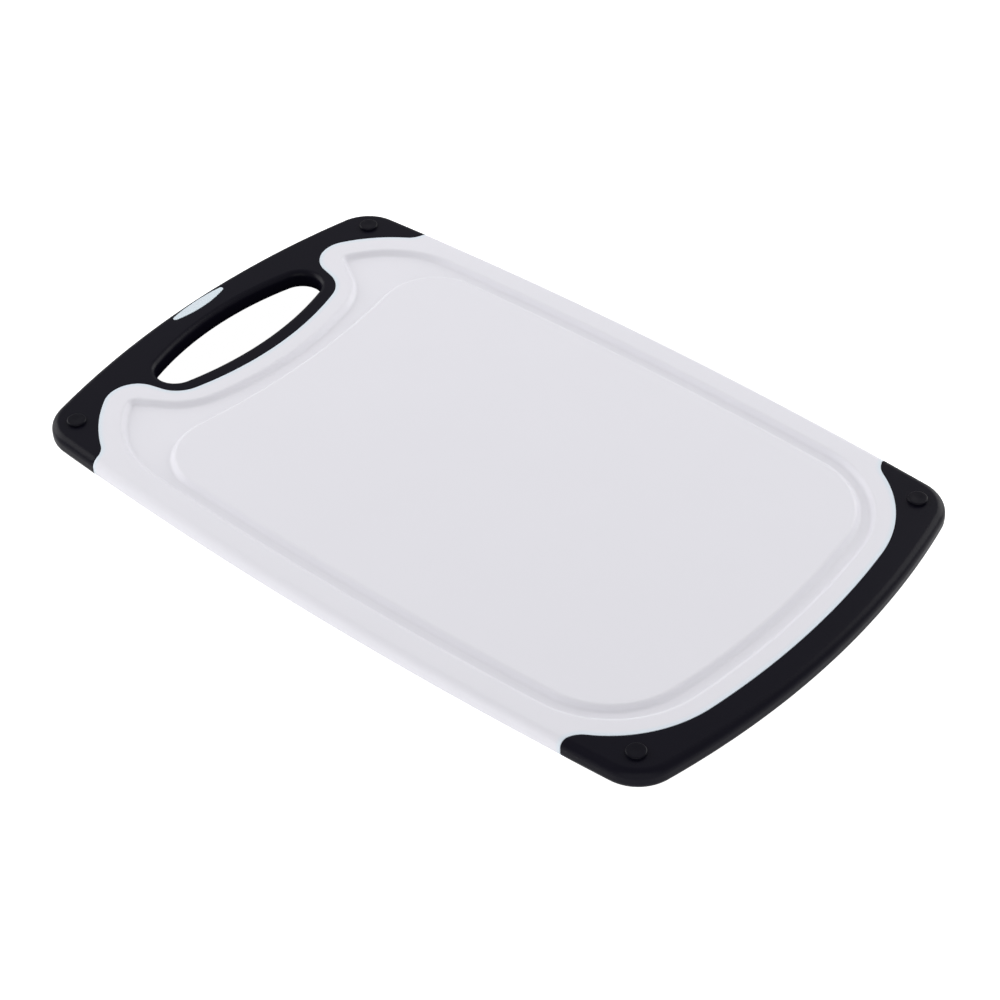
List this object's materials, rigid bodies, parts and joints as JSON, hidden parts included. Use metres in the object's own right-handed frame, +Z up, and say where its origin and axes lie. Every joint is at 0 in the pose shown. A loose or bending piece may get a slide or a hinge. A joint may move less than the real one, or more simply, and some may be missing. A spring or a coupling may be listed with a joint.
{
  "type": "cutting board",
  "caption": "Reversible plastic cutting board with a juice groove, soft moulded grips over both ends, a hand slot and non-slip corner studs.",
  "frame": {"origin": "on the surface the board stands on, under the middle of the board", "axes": "+X along the board from the hand slot to the plain end, +Y across it, +Z up out of the face with the juice groove"},
  "size_m": [0.37, 0.228, 0.0122],
  "materials": {
    "white_polypropylene": "fine moulded grain, semi-matte white",
    "black_elastomer": "soft-touch satin black, faint mould texture",
    "badge_plastic": "smooth satin, very pale blue-grey, blank",
    "stud_rubber": "satin black rubber"
  },
  "bodies": {
    "root": {"board_core": "white_polypropylene", "handle_grip": "black_elastomer", "end_grip": "black_elastomer", "badge_plate": "badge_plastic", "stud_handle_front": "stud_rubber", "stud_handle_back": "stud_rubber", "stud_end_front": "stud_rubber", "stud_end_back": "stud_rubber"}
  },
  "joints": []
}
